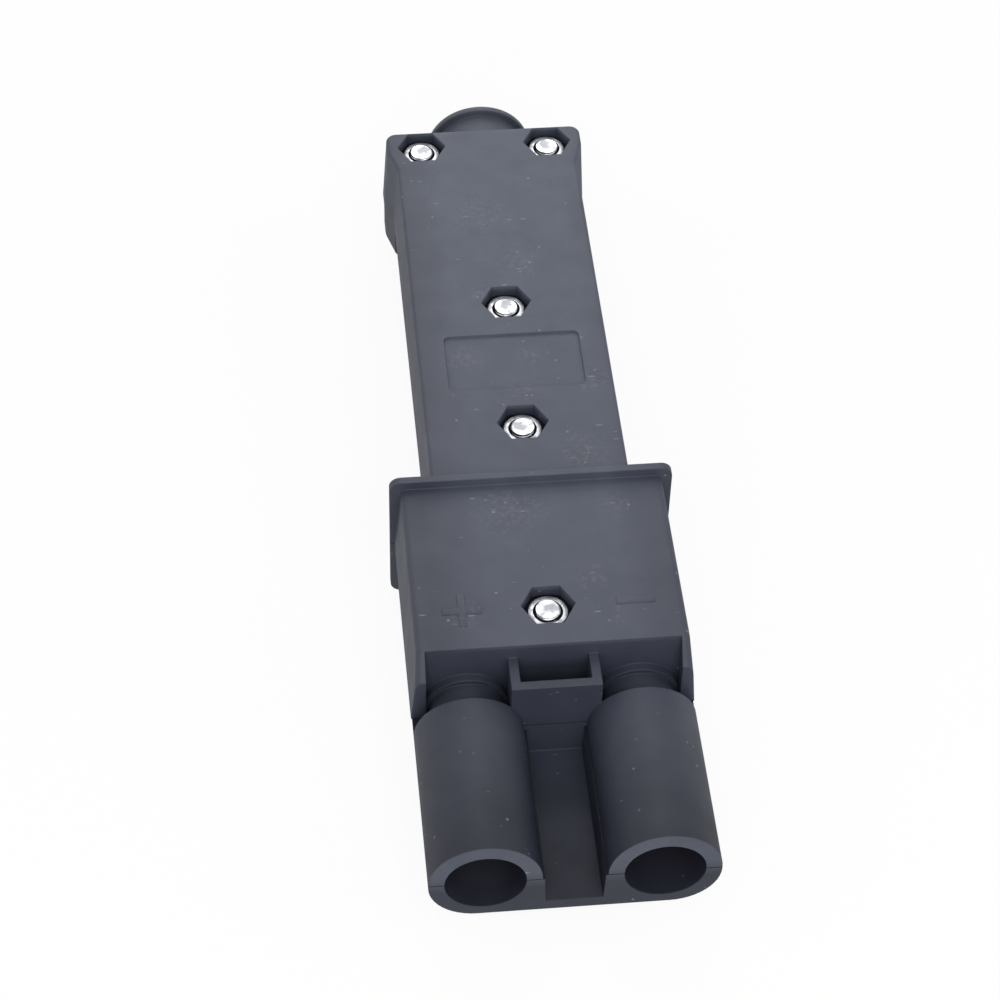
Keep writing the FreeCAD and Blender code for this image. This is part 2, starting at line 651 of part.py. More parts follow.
def make_nut(name, x, y):
    """Hexagon nut, standing on its pocket's floor."""
    body = new_body("nut_" + name, x, y, NUT_SEAT)
    add_z(body, "hexagon", ZERO, S.nut_height, [hexagon(ZERO, ZERO, S.nut_flats)])
    corner = S.nut_flats / math.sqrt(3)
    rim = S.nut_flats / 2 - S.nut_chamfer
    for end, inward in (("low", ZERO), ("high", S.nut_height)):
        outward = -SLACK if end == "low" else S.nut_height + SLACK
        slope = (corner - rim + SLACK) * 0.577
        foot = inward + slope if end == "low" else inward - slope
        turn_z(body, "chamfer_" + end, 0, 0, [
            (rim, inward), (corner + SLACK, foot), (corner + SLACK, outward), (rim, outward),
        ], cut=True)
    cut_z(body, "thread_hole", ZERO - SLACK, S.nut_height + SLACK,
          [(ZERO, ZERO, S.thread_radius + S.thread_play)])
    return body


def make_screw(name, x, y):
    """Slotted screw, from the seat of its head up to its end above the nut."""
    body = new_body("screw_" + name, x, y, SCREW_SEAT)
    tip = S.thread_radius - S.screw_tip
    turn_z(body, "turned", 0, 0, [
        (0, -S.head_height), (S.head_radius, -S.head_height, S.screw_tip), (S.head_radius, 0),
        (S.thread_radius, 0), (S.thread_radius, S.screw_length - S.screw_tip),
        (tip, S.screw_length), (0, S.screw_length),
    ])
    long = S.head_radius + SLACK
    cut_z(body, "slot", -S.head_height - SLACK, S.head_slot_depth - S.head_height,
          [box(-long, long, -S.head_slot / 2, S.head_slot / 2)])
    return body


def make_bush():
    """Round bush at the cord entry, with an inner flange and an outer lip."""
    body = new_body("cord_bush", 0, 0, 0)
    flange_back = S.bush_flange_y + S.bush_flange_thick
    lip_front = BUSH_END - S.bush_lip_thick
    turn_y(body, "turned", 0, S.cord_height, [
        (S.bush_bore, S.bush_flange_y), (S.bush_flange_radius, S.bush_flange_y),
        (S.bush_flange_radius, flange_back), (S.bush_radius, flange_back),
        (S.bush_radius, lip_front), (S.bush_lip_radius, lip_front, S.bush_edge),
        (S.bush_lip_radius, BUSH_END, S.bush_edge), (S.bush_bore + S.bush_edge, BUSH_END),
        (S.bush_bore, BUSH_END - S.bush_edge),
    ])
    return body


def make_contact(name, side):
    """Turned contact: slotted socket in front, collar, and a tail that clamps the wire."""
    body = new_body("contact_" + name, HALF_PITCH * side, 0, 0)
    socket_end = CONTACT_MOUTH + S.socket_depth
    wire_end = S.tail_end - S.wire_depth
    groove = S.contact_radius - S.spring_sunk
    groove_front = CONTACT_MOUTH + S.spring_front
    groove_back = groove_front + S.spring_length
    turn_y(body, "turned", 0, 0, [
        (0, socket_end), (S.contact_bore, socket_end),
        (S.contact_bore, CONTACT_MOUTH + S.contact_chamfer),
        (S.contact_bore + S.contact_chamfer, CONTACT_MOUTH),
        (S.contact_radius - S.contact_chamfer, CONTACT_MOUTH),
        (S.contact_radius, CONTACT_MOUTH + S.contact_chamfer),
        (S.contact_radius, groove_front), (groove, groove_front),
        (groove, groove_back), (S.contact_radius, groove_back),
        (S.contact_radius, S.collar_front), (S.collar_radius, S.collar_front),
        (S.collar_radius, COLLAR_BACK), (S.tail_radius, COLLAR_BACK),
        (S.tail_radius, S.tail_end), (S.wire_radius, S.tail_end),
        (S.wire_radius, wire_end), (0, wire_end),
    ])
    slot_end = CONTACT_MOUTH + S.slot_length
    slot = cut_y(body, "slot", CONTACT_MOUTH - SLACK, slot_end,
                 [box(-S.slot_width / 2, S.slot_width / 2, ZERO, S.contact_radius + SLACK)])
    pattern = body.newObject("PartDesign::PolarPattern", "slots")
    pattern.Originals = [slot]
    pattern.Axis = ([a for a in body.Origin.OriginFeatures if a.Role == "Y_Axis"][0], [""])
    pattern.Angle = 360
    pattern.Occurrences = 4
    body.Tip = pattern
    places = [S.clamp_first + S.clamp_step * step for step in (0, 1)]
    cut_z(body, "clamp_holes", ZERO, S.tail_radius + SLACK,
          [(ZERO, place, S.clamp_radius + S.thread_play) for place in places])
    return body


def make_spring(name, side):
    """Split spring band in the groove of a contact's socket."""
    body = new_body("contact_spring_" + name, HALF_PITCH * side, 0, 0)
    inside = S.contact_radius - S.spring_sunk
    start = CONTACT_MOUTH + S.spring_front
    turn_y(body, "turned", 0, 0, [
        (inside, start), (inside + S.spring_thick, start),
        (inside + S.spring_thick, start + S.spring_length), (inside, start + S.spring_length),
    ])
    cut_z(body, "split", ZERO, S.contact_radius + SLACK, [
        box(-S.slot_width / 2, S.slot_width / 2, start - SLACK, start + S.spring_length + SLACK),
    ])
    return body


def make_clamp_screw(name, side, step):
    """Short headless screw that clamps the wire in a contact's tail."""
    place = S.clamp_first + S.clamp_step * step
    low = S.tail_radius + S.clamp_proud - S.clamp_length
    body = new_body("clamp_screw_%s" % name, HALF_PITCH * side, place, low)
    turn_z(body, "turned", 0, 0, [
        (0, 0), (S.clamp_radius - S.screw_tip, 0), (S.clamp_radius, S.screw_tip),
        (S.clamp_radius, S.clamp_length), (0, S.clamp_length),
    ])
    reach = S.clamp_radius + SLACK
    cut_z(body, "slot", S.clamp_length - S.clamp_slot, S.clamp_length + SLACK,
          [box(-reach, reach, -S.clamp_slot / 2, S.clamp_slot / 2)])
    return body


def make_all():
    bodies = [make_upper_shell(), make_lower_shell(), make_bush()]
    for name, x, y in SCREWS:
        bodies.append(make_nut(name, x, y))
        bodies.append(make_screw(name, x, y))
    for name, side in SIDES:
        bodies.append(make_contact(name, side))
        bodies.append(make_spring(name, side))
        bodies.append(make_clamp_screw(name + "_front", side, 0))
        bodies.append(make_clamp_screw(name + "_rear", side, 1))
    return bodies


def check(bodies):
    """Stops if anything failed, if a cut removed nothing or if a piece isn't one solid."""
    for obj in doc.Objects:
        if "Invalid" in obj.State or "Error" in obj.State:
            raise RuntimeError("%s failed: %s" % (obj.Label, obj.State))
        if obj.TypeId in ("PartDesign::Pocket", "PartDesign::Groove"):
            if obj.Shape.Volume > obj.BaseFeature.Shape.Volume - 1e-3:
                raise RuntimeError("%s removes nothing" % obj.Label)
    for body in bodies:
        shape = body.Shape
        if shape.isNull() or not shape.isValid() or len(shape.Solids) != 1:
            raise RuntimeError("%s isn't one valid solid" % body.Label)


pieces = make_all()
doc.recompute()
check(pieces)
os.makedirs("parts", exist_ok=True)
for piece in pieces:
    piece.Shape.exportStep("parts/%s.step" % piece.Label)
    print("%-28s %9.1f mm3" % (piece.Label, piece.Shape.Volume))
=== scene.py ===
import json
import math

import bmesh
import bpy
from mathutils import Matrix, Vector


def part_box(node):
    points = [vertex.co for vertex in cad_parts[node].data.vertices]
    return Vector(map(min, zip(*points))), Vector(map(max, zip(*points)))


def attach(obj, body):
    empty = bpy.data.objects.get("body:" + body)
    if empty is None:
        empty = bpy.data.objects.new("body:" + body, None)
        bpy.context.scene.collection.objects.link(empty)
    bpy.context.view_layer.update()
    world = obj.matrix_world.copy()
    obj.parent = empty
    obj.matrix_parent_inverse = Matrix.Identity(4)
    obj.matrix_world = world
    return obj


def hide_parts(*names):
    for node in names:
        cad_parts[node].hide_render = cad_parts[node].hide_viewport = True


# Looks of a golf cart charger plug: its camera and studio, its finishes, the two raised marks on its head
# and its threaded fasteners. Lengths are in metres, and in millimetres where a name ends in _MM.

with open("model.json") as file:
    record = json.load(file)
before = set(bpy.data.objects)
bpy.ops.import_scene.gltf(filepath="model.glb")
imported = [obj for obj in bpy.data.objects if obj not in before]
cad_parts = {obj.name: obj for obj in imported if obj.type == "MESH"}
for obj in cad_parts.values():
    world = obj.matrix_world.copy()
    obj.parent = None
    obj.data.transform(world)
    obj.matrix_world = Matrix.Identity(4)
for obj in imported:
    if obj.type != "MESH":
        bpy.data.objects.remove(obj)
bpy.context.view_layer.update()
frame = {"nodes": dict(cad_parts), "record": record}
MM = 0.001

# Zero of the working axes: the joint of the shells, the head's front wall and the plug's middle.
SHELL_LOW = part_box("upper_shell")[0]
JOINT_HEIGHT = SHELL_LOW.z
BARREL_REACH_MM = 38.4
HEAD_FRONT = SHELL_LOW.y + BARREL_REACH_MM * MM
TOP_MM = 14.2

# The photograph's camera, round a point on the joint plane.
VIEW_AZIMUTH = math.radians(-6.66)
VIEW_ELEVATION = math.radians(47.88)
VIEW_ROLL = math.radians(1.61)
VIEW_DISTANCE_MM = 536.2
VIEW_TARGET_MM = (-4.52, 46.31, 0)
FOCAL_LENGTH_MM = 104.4
SENSOR_MM = 36.0
CLIP_NEAR, CLIP_FAR = 0.01, 20

# Soft boxes of the studio: name, azimuth and elevation seen from the plug, width and height, watts.
LAMP_DISTANCE = 1.0
LAMPS = (
    ("rear_high", 0, 53, 0.3, 0.3, 1.2),
    ("rear_low", 0, 28, 0.9, 0.4, 2.85),
    ("left", 270, 30, 0.6, 0.6, 2.0),
    ("right", 90, 30, 0.6, 0.6, 2.4),
    ("front_high", 180, 50, 0.7, 0.5, 5.5),
    ("front_low", 180, 18, 0.9, 0.4, 3.2),
)
AIR_LEVEL = 0.15
FLOOR_GLOW = 0.92
FLOOR_SIZE = 6.0

# Grain of the moulded nylon: its size and depth, and the sizes of its clouds and of its duller patches.
GRAIN_MM, GRAIN_DEEP_MM = 0.4, 0.012
NYLON_CLOUD_MM = 18
DULL_PATCH_MM = 5
# Its tone falls off from the head's front wall to the barrels' mouths: painted shade, darker towards the
# mouths.
MOUTH_TONE, HEAD_TONE = -0.5, 0.25
# Its sheen: seen straight on, seen aslant, how far it follows that tone, and how much the seam lacks.
SHEEN_STRAIGHT, SHEEN_ASLANT = 0.41, 0.1
SHEEN_TONE, SHEEN_SEAM = 0.14, 0.3

# Seam of the two shells. Round the catch the lower shell stands higher.
SEAM_MM, SEAM_DEEP_MM = 0.11, 0.2
SEAM_SHARP, SEAM_STRENGTH = 0.6, 0.8
CATCH_HALF_MM = 7.85
CATCH_DEPTH_MM = 7.0
CATCH_STEP_MM = 0.9

# Painted sheen that pales the top faces: it begins between two heights, is fullest round a middle line,
# fades out towards the sides, grows towards the cord, where the lamps stand behind the plug, and comes in
# patches.
PALE_FROM_MM, PALE_TO_MM = 13.2, 13.7
PALE_MIDDLE_MM, PALE_HALF_MM, PALE_END_MM = 2.0, 12.0, 22.0
PALE_AT_HEAD, REAR_MM = 0.5, 135.0
SHEEN_PATCH_MM = 7
PATCH_GAIN, PATCH_LEAST = 1.2, 0.4
# The barrels' rims are paler in front of a line, a painted highlight that is stronger above the joint than
# below it.
RIM_MM, RIM_TURN_MM = 38.25, 2.0
RIM_BELOW, RIM_ABOVE = 0.1, 0.7

# Where dust has gathered on the top face: place and reach. Its outlines wander.
DUSTY_PLACES_MM = (
    (-5.4, 30.6, 8.0), (13.8, 31.3, 4.0), (8.3, 14.3, 3.5), (12.0, 6.8, 2.5), (10.4, 43.3, 7.0),
    (-9.7, 69.6, 4.5), (3.4, 69.2, 3.0), (13.9, 62.1, 4.5), (0.4, 61.3, 5.0), (-2.7, 109.2, 7.0),
    (-14.0, 7.2, 4.0), (-3.0, 86.0, 4.0), (4.5, 95.0, 5.0),
)
DUST_CORE = 0.3
WANDER_MM, WANDER_REACH_MM = 4, 9.0
# Specks of dust: size, soft rim, spacing, the smallest one's share of the size, how many lie elsewhere, and
# how strong they are. Real ones are finer, and these are as coarse as they need to be to show.
SPECK_MM, SPECK_RIM_MM, SPECK_PITCH_MM = 0.26, 0.18, 1.1
SPECK_SMALLEST, SPECK_STRAY = 0.4, 0.04
SPECK_GAIN, SPECK_LEAST = 0.4, 0.06
ROUND_STRETCH, ROUND_SHARE = (1.0, 1.0, 1.0), 0.42
DRAWN_STRETCH, DRAWN_SHARE = (0.4, 1.5, 1.0), 0.2
FILM_BLOTCH_MM, FILM_STRENGTH = 0.9, 0.24
DUST_THICK_MM = 0.04

# Worn edges that catch the light.
EDGE_SAMPLES = 6
NYLON_EDGE_MM, RUBBER_EDGE_MM, ZINC_EDGE_MM = 0.28, 0.3, 0.12

# Patterns of the small parts: the rubber's clouds and pebbles, the zinc's clouds and skin, the brass's
# clouds and turning marks, and how the steel's rolling lines are drawn out.
RUBBER_CLOUD_MM, PEBBLE_MM, PEBBLE_DEEP_MM = 3, 0.5, 0.02
ZINC_CLOUD_MM, ZINC_SKIN_MM, ZINC_SKIN_DEEP_MM = 1.9, 1.1, 0.12
BRASS_CLOUD_MM, TURNING_MM, TURNING_DEEP_MM = 2.5, 0.3, 0.01
ROLLING_STRETCH, ROLLING_DEEP_MM = (4.0, 0.3, 4.0), 0.02
# A wave texture has this many waves in a length of tau.
WAVES_PER_TAU = 20
# Radii between which a screw's end and a nut's face keep their bright zinc. Above their seats the rest is
# darkened with painted shade and made rougher.
SCREW_BRIGHT_MM = (0.0, 2.16)
NUT_BRIGHT_MM = (2.62, 3.43)
SEAT_MM, SHADE_DULL = 0.01, 0.3

# Marks of the head, raised from its top face.
MARK_HEIGHT_MM = 0.15
MARK_FOOT_MM = 0.1
MARK_EDGE_MM, MARK_EDGE_STEPS = 0.12, 3
PLUS_PLACE_MM, PLUS_LONG_MM, PLUS_WIDE_MM = (-15.0, 8.4), 7.0, 1.45
MINUS_PLACE_MM, MINUS_LONG_MM, MINUS_WIDE_MM = (15.2, 8.6), 6.8, 1.4

# M5 screws and nuts, and how far each screw is turned, in degrees.
SHARP_ANGLE = math.radians(32)
COLUMNS = 36
PITCH_MM = 0.8
CREST_MM, ROOT_MM, TIP_MM = 2.45, 1.95, 2.12
FLANK_SLOPE, CREST_FLAT = 2.5, 0.12
SCREW_MM = 16.0
THREAD_START_MM = 0.9
THREAD_STEP_MM = 0.08
HEAD_MM, HEAD_HEIGHT_MM, HEAD_FLAT_MM = 4.25, 3.3, 2.6
HEAD_SIDE_MM, HEAD_EDGE_MM = 0.9, 0.1
DOME_STEPS = 6
SLOT_WIDE_MM, SLOT_DEEP_MM = 1.2, 1.6
NUT_FLATS_MM, NUT_HEIGHT_MM, NUT_RIM_MM = 8.0, 4.0, 3.4
NUT_HOLE_MM, NUT_SINK_MM = 2.5, 2.65
NUT_CHAMFER = math.radians(30)
SCREW_TURNS = (("rear_left", 35), ("rear_right", 118), ("grip_rear", 74), ("grip_front", 160), ("head", 10))


def spot(x, y, z):
    """A point of the working axes, given in millimetres, in the row frame."""
    return Vector((x * MM, HEAD_FRONT + y * MM, JOINT_HEIGHT + z * MM))


def linear(hex_colour):
    """An sRGB hex colour as linear red, green, blue and alpha."""
    channels = [int(hex_colour[i:i + 2], 16) / 255 for i in (1, 3, 5)]
    lit = [c / 12.92 if c <= 0.04045 else ((c + 0.055) / 1.055) ** 2.4 for c in channels]
    return (*lit, 1.0)


def add_node(tree, kind, settings=None, wires=None):
    """Adds a shader node. settings holds its properties and input values, wires what feeds its inputs."""
    node = tree.nodes.new(kind)
    for name, value in (settings or {}).items():
        if isinstance(name, int) or name in node.inputs:
            node.inputs[name].default_value = value
        else:
            setattr(node, name, value)
    for name, source in (wires or {}).items():
        output = source.outputs[0] if isinstance(source, bpy.types.Node) else source
        tree.links.new(output, node.inputs[name])
    return node


def new_material(name):
    """A new material with its node tree and shader."""
    material = bpy.data.materials.new(name)
    material.use_nodes = True
    tree = material.node_tree
    return material, tree, tree.nodes["Principled BSDF"]


def in_millimetres(tree, origin=(0, 0, 0)):
    """Object coordinates in millimetres from an origin, so that a pattern's scale is one over its size."""
    place = add_node(tree, "ShaderNodeTexCoord")
    moved = add_node(tree, "ShaderNodeVectorMath", {"operation": "SUBTRACT", 1: origin},
                     {0: place.outputs["Object"]})
    return add_node(tree, "ShaderNodeVectorMath", {"operation": "SCALE", "Scale": 1 / MM}, {0: moved})


def dusty_places(tree, place):
    """0 to 1 for how much dust has gathered round the dusty places of the top face."""
    wander = add_node(tree, "ShaderNodeTexNoise", {"Scale": 1 / WANDER_MM, "Detail": 3.0}, {"Vector": place})
    reach = (WANDER_REACH_MM, WANDER_REACH_MM, 0.0)
    shift = add_node(tree, "ShaderNodeVectorMath", {"operation": "MULTIPLY_ADD", 1: reach},
                     {0: wander.outputs["Color"], 2: place})
    centre = (WANDER_REACH_MM / 2, WANDER_REACH_MM / 2, 0.0)
    ragged = add_node(tree, "ShaderNodeVectorMath", {"operation": "SUBTRACT", 1: centre}, {0: shift})
    crowd = None
    for x, y, spread in DUSTY_PLACES_MM:
        away = add_node(tree, "ShaderNodeVectorMath", {"operation": "DISTANCE", 1: (x, y, TOP_MM)},
                        {0: ragged})
        near = add_node(tree, "ShaderNodeMapRange", {"From Min": spread, "From Max": spread * DUST_CORE},
                        {"Value": away.outputs["Value"]})
        crowd = near if crowd is None else add_node(tree, "ShaderNodeMath", {"operation": "MAXIMUM"},
                                                    {0: crowd, 1: near})
    return crowd


def flecks(tree, place, crowd, stretch, share):
    """Small pale spots of uneven size and strength, drawn out by a stretch.

    A share of them shows where the dust is, and few show elsewhere.
    """
    drawn = add_node(tree, "ShaderNodeVectorMath", {"operation": "MULTIPLY", 1: stretch}, {0: place})
    cells = add_node(tree, "ShaderNodeTexVoronoi", {"Scale": 1 / SPECK_PITCH_MM}, {"Vector": drawn})
    lot = add_node(tree, "ShaderNodeSeparateColor", None, {"Color": cells.outputs["Color"]})
    allowed = add_node(tree, "ShaderNodeMath", {"operation": "MULTIPLY_ADD", 1: share, 2: SPECK_STRAY},
                       {0: crowd})
    chosen = add_node(tree, "ShaderNodeMath", {"operation": "LESS_THAN"},
                      {0: lot.outputs["Red"], 1: allowed})
    reach = add_node(tree, "ShaderNodeMath",
                     {"operation": "MULTIPLY_ADD", 1: SPECK_MM / SPECK_PITCH_MM,
                      2: SPECK_MM * SPECK_SMALLEST / SPECK_PITCH_MM}, {0: lot.outputs["Green"]})
    depth = add_node(tree, "ShaderNodeMath", {"operation": "SUBTRACT"},
                     {0: reach, 1: cells.outputs["Distance"]})
    rim = SPECK_RIM_MM / SPECK_PITCH_MM
    inside = add_node(tree, "ShaderNodeMath", {"operation": "DIVIDE", 1: rim, "use_clamp": True}, {0: depth})
    shown = add_node(tree, "ShaderNodeMath", {"operation": "MULTIPLY"}, {0: inside, 1: chosen})
    strength = add_node(tree, "ShaderNodeMath",
                        {"operation": "MULTIPLY_ADD", 1: SPECK_GAIN, 2: SPECK_LEAST},
                        {0: lot.outputs["Blue"]})
    return add_node(tree, "ShaderNodeMath", {"operation": "MULTIPLY"}, {0: shown, 1: strength})


def dust(tree, place):
    """0 to 1 where pale dust lies: specks, short drawn marks and a blotchy film."""
    crowd = dusty_places(tree, place)
    specks = flecks(tree, place, crowd, ROUND_STRETCH, ROUND_SHARE)
    drawn = flecks(tree, place, crowd, DRAWN_STRETCH, DRAWN_SHARE)
    blotches = add_node(tree, "ShaderNodeTexNoise",
                        {"Scale": 1 / FILM_BLOTCH_MM, "Detail": 5.0, "Roughness": 0.75}, {"Vector": place})
    paler = add_node(tree, "ShaderNodeMapRange",
                    {"From Min": 0.48, "From Max": 0.75, "To Max": FILM_STRENGTH}, {"Value": blotches})
    gathered = add_node(tree, "ShaderNodeMath", {"operation": "MULTIPLY"}, {0: paler, 1: crowd})
    marks = add_node(tree, "ShaderNodeMath", {"operation": "MAXIMUM"}, {0: specks, 1: drawn})
    return add_node(tree, "ShaderNodeMath", {"operation": "MAXIMUM"}, {0: marks, 1: gathered})


def seam(tree, place):
    """Near 1 on the line where the two shells meet and 0 beside it."""
    axes = add_node(tree, "ShaderNodeSeparateXYZ", None, {0: place})
    side = add_node(tree, "ShaderNodeMath", {"operation": "ABSOLUTE"}, {0: axes.outputs["X"]})
    beside = add_node(tree, "ShaderNodeMath", {"operation": "LESS_THAN", 1: CATCH_HALF_MM}, {0: side})
    behind = add_node(tree, "ShaderNodeMath", {"operation": "COMPARE", 1: -CATCH_DEPTH_MM / 2,
                                               2: CATCH_DEPTH_MM / 2 + SEAM_MM}, {0: axes.outputs["Y"]})
    catch = add_node(tree, "ShaderNodeMath", {"operation": "MULTIPLY"}, {0: beside, 1: behind})
    level = add_node(tree, "ShaderNodeMath", {"operation": "MULTIPLY", 1: CATCH_STEP_MM}, {0: catch})
    rise = add_node(tree, "ShaderNodeMath", {"operation": "SUBTRACT"}, {0: axes.outputs["Z"], 1: level})
    away = add_node(tree, "ShaderNodeMath", {"operation": "ABSOLUTE"}, {0: rise})
    return add_node(tree, "ShaderNodeMapRange",
                    {"From Min": SEAM_MM, "From Max": SEAM_MM * SEAM_SHARP, "To Min": 0.0,
                     "To Max": SEAM_STRENGTH}, {"Value": away})


def painted_sheen(tree, place):
    """0 to 1 for painted sheen on the top faces, more towards the cord, and painted highlight on the rims.
    """
    axes = add_node(tree, "ShaderNodeSeparateXYZ", None, {0: place})
    top = add_node(tree, "ShaderNodeMapRange", {"From Min": PALE_FROM_MM, "From Max": PALE_TO_MM},
                   {"Value": axes.outputs["Z"]})
    rearward = add_node(tree, "ShaderNodeMapRange",
                        {"From Max": REAR_MM, "To Min": PALE_AT_HEAD, "To Max": 1.0},
                        {"Value": axes.outputs["Y"]})
    patches = add_node(tree, "ShaderNodeTexNoise",
                       {"Scale": 1 / SHEEN_PATCH_MM, "Detail": 7.0, "Roughness": 0.7}, {"Vector": place})
    uneven = add_node(tree, "ShaderNodeMath", {"operation": "MULTIPLY_ADD", 1: PATCH_GAIN, 2: PATCH_LEAST},
                      {0: patches})
    side = add_node(tree, "ShaderNodeMath", {"operation": "SUBTRACT", 1: PALE_MIDDLE_MM},
                    {0: axes.outputs["X"]})
    aside = add_node(tree, "ShaderNodeMath", {"operation": "ABSOLUTE"}, {0: side})
    towards_middle = add_node(tree, "ShaderNodeMapRange",
                      {"From Min": PALE_HALF_MM, "From Max": PALE_END_MM, "To Min": 1.0, "To Max": 0.0},
                      {"Value": aside})
    paler = add_node(tree, "ShaderNodeMath", {"operation": "MULTIPLY"}, {0: top, 1: rearward})
    spread = add_node(tree, "ShaderNodeMath", {"operation": "MULTIPLY"}, {0: paler, 1: towards_middle})
    flat = add_node(tree, "ShaderNodeMath", {"operation": "MULTIPLY"}, {0: spread, 1: uneven})
    # Painted highlight on the rims, stronger above the joint than below it.
    rim = add_node(tree, "ShaderNodeMath", {"operation": "LESS_THAN", 1: -RIM_MM}, {0: axes.outputs["Y"]})
    rim_tone = add_node(tree, "ShaderNodeMapRange",
                        {"From Min": -RIM_TURN_MM, "From Max": RIM_TURN_MM, "To Min": RIM_BELOW,
                         "To Max": RIM_ABOVE}, {"Value": axes.outputs["Z"]})
    rim_patches = add_node(tree, "ShaderNodeMath", {"operation": "MULTIPLY"}, {0: rim_tone, 1: uneven})
    rim_highlight = add_node(tree, "ShaderNodeMath", {"operation": "MULTIPLY"}, {0: rim, 1: rim_patches})
    return add_node(tree, "ShaderNodeMath", {"operation": "MAXIMUM"}, {0: flat, 1: rim_highlight})


def moulded_nylon():
    """Injection-moulded charcoal nylon with a fine spark-eroded grain: soft, matte, faintly blue.

    Its worn edges catch the light, its top face is dusty with a painted sheen, its rims have a painted
    highlight, its colour is painted darker towards the barrels' mouths as shade, and the seam of the shells
    is dark.
    """
    material, tree, shader = new_material("moulded_nylon")
    place = in_millimetres(tree, spot(0, 0, 0))
    cloud = add_node(tree, "ShaderNodeTexNoise", {"Scale": 1 / NYLON_CLOUD_MM, "Detail": 3.0},
                     {"Vector": place})
    axes = add_node(tree, "ShaderNodeSeparateXYZ", None, {0: place})
    # Painted shade: the colour darkens from the head's front wall to the barrels' mouths.
    shade_towards_mouths = add_node(tree, "ShaderNodeMapRange",
                        {"From Min": -BARREL_REACH_MM, "From Max": 0.0, "To Min": MOUTH_TONE,
                         "To Max": HEAD_TONE}, {"Value": axes.outputs["Y"]})
    tone = add_node(tree, "ShaderNodeMath", {"operation": "ADD", "use_clamp": True},
                    {0: cloud, 1: shade_towards_mouths})
    base = add_node(tree, "ShaderNodeMix",
                    {"data_type": "RGBA", 6: linear("#171a26"), 7: linear("#363a47")}, {0: tone})
    # Painted sheen pales the top faces, more towards the cord, and a painted highlight pales the barrels'
    # rims.
    paled = add_node(tree, "ShaderNodeMix", {"data_type": "RGBA", 7: linear("#494e5b")},
                     {0: painted_sheen(tree, place), 6: base.outputs[2]})
    grime = dust(tree, place)
    dusty = add_node(tree, "ShaderNodeMix", {"data_type": "RGBA", 7: linear("#93929a")},
                     {0: grime, 6: paled.outputs[2]})
    gap = seam(tree, place)
    colour = add_node(tree, "ShaderNodeMix", {"data_type": "RGBA", 7: linear("#121318")},
                      {0: gap, 6: dusty.outputs[2]})
    tree.links.new(colour.outputs[2], shader.inputs["Base Color"])

    patches = add_node(tree, "ShaderNodeTexNoise", {"Scale": 1 / DULL_PATCH_MM, "Detail": 4.0},
                       {"Vector": place})
    dull = add_node(tree, "ShaderNodeMapRange", {"To Min": 0.5, "To Max": 0.68}, {"Value": patches})
    tree.links.new(dull.outputs[0], shader.inputs["Roughness"])
    shader.inputs["IOR"].default_value = 1.5
    glance = add_node(tree, "ShaderNodeLayerWeight", {"Blend": 0.5})
    shaded = add_node(tree, "ShaderNodeMapRange",
                      {"From Min": 0.55, "To Min": SHEEN_STRAIGHT, "To Max": SHEEN_ASLANT},
                      {"Value": glance.outputs["Facing"]})
    duller = add_node(tree, "ShaderNodeMath", {"operation": "MULTIPLY_ADD", 1: SHEEN_TONE},
                      {0: shade_towards_mouths, 2: shaded})
    sheen = add_node(tree, "ShaderNodeMath", {"operation": "MULTIPLY_ADD", 1: -SHEEN_SEAM},
                     {0: gap, 2: duller})
    tree.links.new(sheen.outputs[0], shader.inputs["Specular IOR Level"])

    worn = add_node(tree, "ShaderNodeBevel", {"samples": EDGE_SAMPLES, "Radius": NYLON_EDGE_MM * MM})
    grain = add_node(tree, "ShaderNodeTexNoise", {"Scale": 1 / GRAIN_MM, "Detail": 3.0}, {"Vector": place})
    lifted = add_node(tree, "ShaderNodeMath", {"operation": "MULTIPLY", 1: DUST_THICK_MM}, {0: grime})
    relief = add_node(tree, "ShaderNodeMath", {"operation": "MULTIPLY_ADD", 1: GRAIN_DEEP_MM},
                      {0: grain, 2: lifted})
    sunk = add_node(tree, "ShaderNodeMath", {"operation": "MULTIPLY_ADD", 1: -SEAM_DEEP_MM},
                    {0: gap, 2: relief})
    bump = add_node(tree, "ShaderNodeBump", {"Strength": 1.0, "Distance": MM},
                    {"Height": sunk, "Normal": worn})
    tree.links.new(bump.outputs[0], shader.inputs["Normal"])
    return material


def moulded_rubber():
    """Moulded rubber of the cord bush: an even, matte dark grey with a fine pebbled skin."""
    material, tree, shader = new_material("moulded_rubber")
    place = in_millimetres(tree)
    cloud = add_node(tree, "ShaderNodeTexNoise", {"Scale": 1 / RUBBER_CLOUD_MM, "Detail": 3.0},
                     {"Vector": place})
    base = add_node(tree, "ShaderNodeMix",
                    {"data_type": "RGBA", 6: linear("#3a3d49"), 7: linear("#464955")}, {0: cloud})
    tree.links.new(base.outputs[2], shader.inputs["Base Color"])
    shader.inputs["Roughness"].default_value = 0.6
    shader.inputs["IOR"].default_value = 1.52
    worn = add_node(tree, "ShaderNodeBevel", {"samples": EDGE_SAMPLES, "Radius": RUBBER_EDGE_MM * MM})
    pebbles = add_node(tree, "ShaderNodeTexVoronoi", {"Scale": 1 / PEBBLE_MM}, {"Vector": place})
    bump = add_node(tree, "ShaderNodeBump", {"Strength": 1.0, "Distance": PEBBLE_DEEP_MM * MM},
                    {"Height": pebbles, "Normal": worn})
    tree.links.new(bump.outputs[0], shader.inputs["Normal"])
    return material


